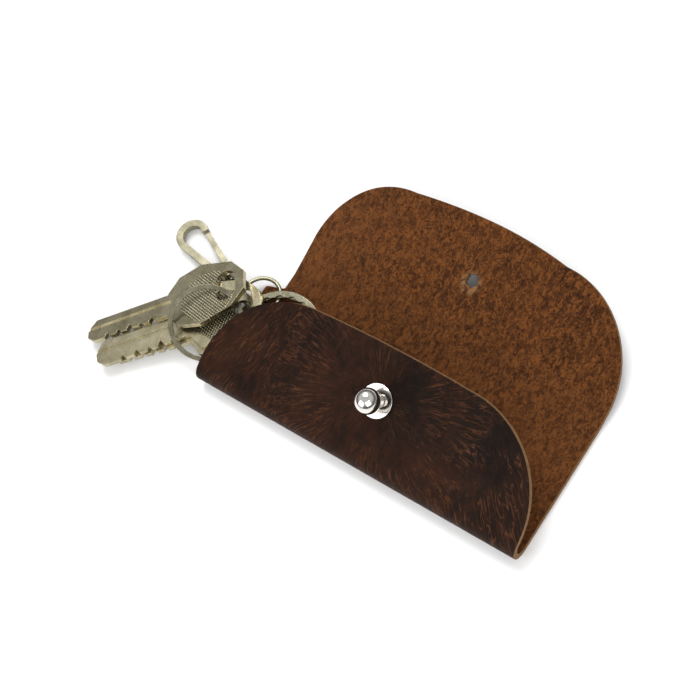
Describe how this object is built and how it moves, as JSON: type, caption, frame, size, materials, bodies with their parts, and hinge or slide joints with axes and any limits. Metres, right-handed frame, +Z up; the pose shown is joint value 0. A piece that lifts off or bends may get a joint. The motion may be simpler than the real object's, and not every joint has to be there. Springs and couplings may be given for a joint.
{
  "type": "key organiser",
  "caption": "Folded leather key pouch, opened out, with a ball stud, split rings, a snap hook and keys.",
  "frame": {"origin": "middle of the footprint, on the table the pouch lies on", "axes": "+X along the bottom fold towards the right end, +Y from the fold towards the flap, +Z up"},
  "size_m": [0.1625, 0.096, 0.0259],
  "materials": {
    "grain_leather": "semi-gloss brown grain leather outside, suede flesh side inside",
    "tan_leather": "plain leather",
    "stud_nickel": "polished nickel",
    "ring_nickel": "nickel plated spring steel",
    "hook_nickel": "cast and nickel plated",
    "key_metal": "nickel silver key blank",
    "rivet_nickel": "nickel plated"
  },
  "bodies": {
    "pouch_back": {"back_panel": "grain_leather", "ring_strap": "tan_leather", "strap_rivet": "rivet_nickel", "strap_rivet_cap": "rivet_nickel"},
    "front": {"front_panel": "grain_leather", "stud": "stud_nickel", "stud_screw": "rivet_nickel"},
    "bend": {"bend_strip": "grain_leather"},
    "flap": {"flap": "grain_leather", "stud_hole_lip": "grain_leather"},
    "wavy_ring": {"wave_split_ring": "ring_nickel"},
    "swivel_eye": {"swivel_eye": "hook_nickel"},
    "hook": {"hook_body": "hook_nickel", "gate_pin": "hook_nickel"},
    "gate": {"gate": "hook_nickel"},
    "key_ring": {"key_ring": "ring_nickel"},
    "key_upper": {"key_upper": "key_metal"},
    "key_front": {"key_front": "key_metal"},
    "key_under": {"key_under": "key_metal"}
  },
  "joints": [
    {"name": "bend_fold", "type": "hinge", "parent": "pouch_back", "child": "bend", "pos_m": [0.02225, 0.00505, 0.0018], "axis": [1, 0, 0], "range_deg": [0, 60]},
    {"name": "flap_fold", "type": "hinge", "parent": "bend", "child": "flap", "pos_m": [0.02225, 0.01785, 0.00379], "axis": [1, 0, 0], "range_deg": [0, 60]},
    {"name": "front_fold", "type": "hinge", "parent": "pouch_back", "child": "front", "pos_m": [0.02225, -0.03175, 0.0045], "axis": [-1, 0, 0], "range_deg": [-30, 11]},
    {"name": "wavy_ring_swing", "type": "hinge", "parent": "pouch_back", "child": "wavy_ring", "pos_m": [-0.0069, -0.01395, 0.00474], "axis": [0, 0, 1], "range_deg": [-8, 0]},
    {"name": "eye_swing", "type": "hinge", "parent": "wavy_ring", "child": "swivel_eye", "pos_m": [-0.03505, -0.00282, 0.00382], "axis": [0, 0, 1], "range_deg": [-6, 10]},
    {"name": "hook_swivel", "type": "hinge", "parent": "swivel_eye", "child": "hook", "pos_m": [-0.05225, -0.00165, 0.0022], "axis": [0.9563, -0.2924, 0], "continuous": true},
    {"name": "gate_pivot", "type": "hinge", "parent": "hook", "child": "gate", "pos_m": [-0.05255, 0.00043, 0.0022], "axis": [0, 0, 1], "range_deg": [0, 18], "stiffness_Nm_per_rad": 0.002, "springref_deg": -11.46},
    {"name": "key_ring_turn", "type": "hinge", "parent": "wavy_ring", "child": "key_ring", "pos_m": [-0.04295, -0.02045, 0.00863], "axis": [0.3205, -0.2011, 0.9256], "range_deg": [0, 5]},
    {"name": "key_upper_swing", "type": "hinge", "parent": "key_ring", "child": "key_upper", "pos_m": [-0.04288, -0.0094, 0.011], "axis": [0, 0, 1], "range_deg": [-8, 0]},
    {"name": "key_front_swing", "type": "hinge", "parent": "key_ring", "child": "key_front", "pos_m": [-0.03659, -0.01111, 0.00845], "axis": [0, 0, 1], "range_deg": [0, 4]},
    {"name": "key_under_swing", "type": "hinge", "parent": "key_ring", "child": "key_under", "pos_m": [-0.03386, -0.01396, 0.00689], "axis": [0, 0, 1], "range_deg": [-4, 0]}
  ],
  "couplings": [
    {"joint": "flap_fold", "follows": "bend_fold", "ratio": 1}
  ]
}
